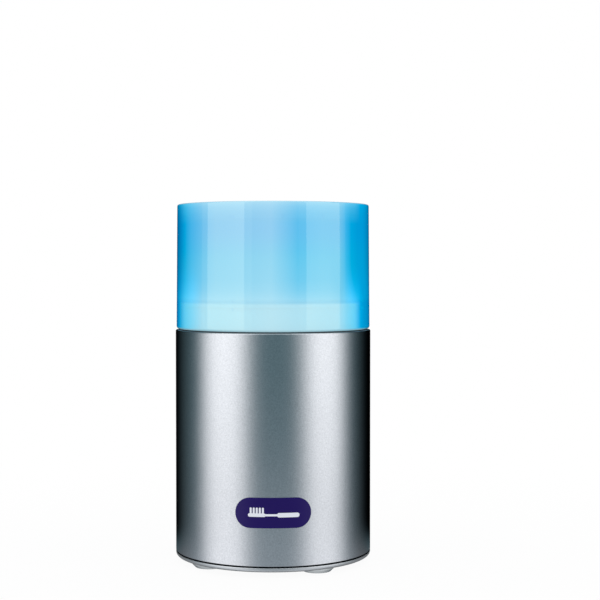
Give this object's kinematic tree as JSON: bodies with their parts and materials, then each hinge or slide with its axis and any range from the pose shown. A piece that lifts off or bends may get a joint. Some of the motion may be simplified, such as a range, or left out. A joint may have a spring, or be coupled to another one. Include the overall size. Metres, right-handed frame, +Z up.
{
  "type": "toothbrush sanitizer",
  "caption": "Counter-top ultraviolet toothbrush sanitizer: round aluminium body, translucent blue lift-off cap with brush openings, rinse cup and bulb inside, rear power button and supply socket.",
  "frame": {"origin": "on the counter, at the centre of the round body", "axes": "+Z up along the body's axis, -Y to the front, +X to the right when looking at the front"},
  "size_m": [0.088, 0.088, 0.1602],
  "materials": {
    "sleeve_aluminium": "satin, clear anodised",
    "cover_plastic": "silver-grey, fine matte",
    "foot_rubber": "translucent grey",
    "screw_steel": "zinc plated",
    "white_plastic": "white, semi-gloss",
    "dark_polymer": "dark grey, matte",
    "cap_blue": "translucent blue plastic, polished",
    "cup_clear": "clear plastic",
    "magnet_nickel": "nickel plated",
    "quartz_glass": "clear",
    "lead_steel": "bright",
    "shell_brass": "bright",
    "socket_ceramic": "glazed cream",
    "contact_copper": "bright copper",
    "board_laminate": "green, solder-masked",
    "ferrite": "dark, matte",
    "coil_copper": "enamelled copper wire",
    "capacitor_sleeve": "dark blue shrink sleeve",
    "film_capacitor_case": "ochre epoxy",
    "wire_red": "insulated wire"
  },
  "bodies": {
    "base": {"outer_sleeve": "sleeve_aluminium", "bottom_cover": "cover_plastic", "rubber_feet": "foot_rubber", "cover_screws": "screw_steel", "chassis": "white_plastic", "lamp_guard": "white_plastic", "guard_crown_cap": "white_plastic", "reed_switch": "quartz_glass", "sensor_cable": "dark_polymer", "bulb_glass": "quartz_glass", "bulb_filament": "lead_steel", "bulb_base": "shell_brass", "lamp_socket": "socket_ceramic", "socket_contact": "contact_copper", "socket_screws": "screw_steel", "lamp_wires": "wire_red", "control_board": "board_laminate", "ballast_core": "ferrite", "ballast_winding": "coil_copper", "capacitors": "capacitor_sleeve", "film_capacitor": "film_capacitor_case", "timer_chip": "dark_polymer", "driver_transistor": "dark_polymer", "fuse": "quartz_glass", "board_connectors": "white_plastic", "dc_jack": "dark_polymer", "jack_pin": "lead_steel", "button_bezel": "cover_plastic", "button_spring": "lead_steel", "tact_switch": "dark_polymer", "switch_board": "board_laminate", "switch_leads": "wire_red"},
    "turn_ring": {"glide_ring": "dark_polymer"},
    "cap": {"cap_shell": "cap_blue", "brush_plate": "white_plastic", "interlock_magnet": "magnet_nickel"},
    "cup": {"rinse_cup": "cup_clear"},
    "button": {"power_button": "cover_plastic", "switch_plunger": "wire_red"}
  },
  "joints": [
    {"name": "cap_turn", "type": "hinge", "parent": "base", "child": "turn_ring", "pos_m": [0, 0, 0.1037], "axis": [0, 0, 1], "continuous": true},
    {"name": "cap_lift", "type": "slide", "parent": "turn_ring", "child": "cap", "axis": [0, 0, 1], "range_m": [0, 0.15]},
    {"name": "cup_lift", "type": "slide", "parent": "base", "child": "cup", "axis": [0, 0, 1], "range_m": [0, 0.075]},
    {"name": "button_press", "type": "slide", "parent": "base", "child": "button", "axis": [0, -1, 0], "range_m": [0, 0.0014], "stiffness_N_per_m": 300, "deforming": ["button_spring"]}
  ],
  "couplings": [
    {"joint": "cup_lift", "follows": "cap_lift", "ratio": 0.5}
  ]
}
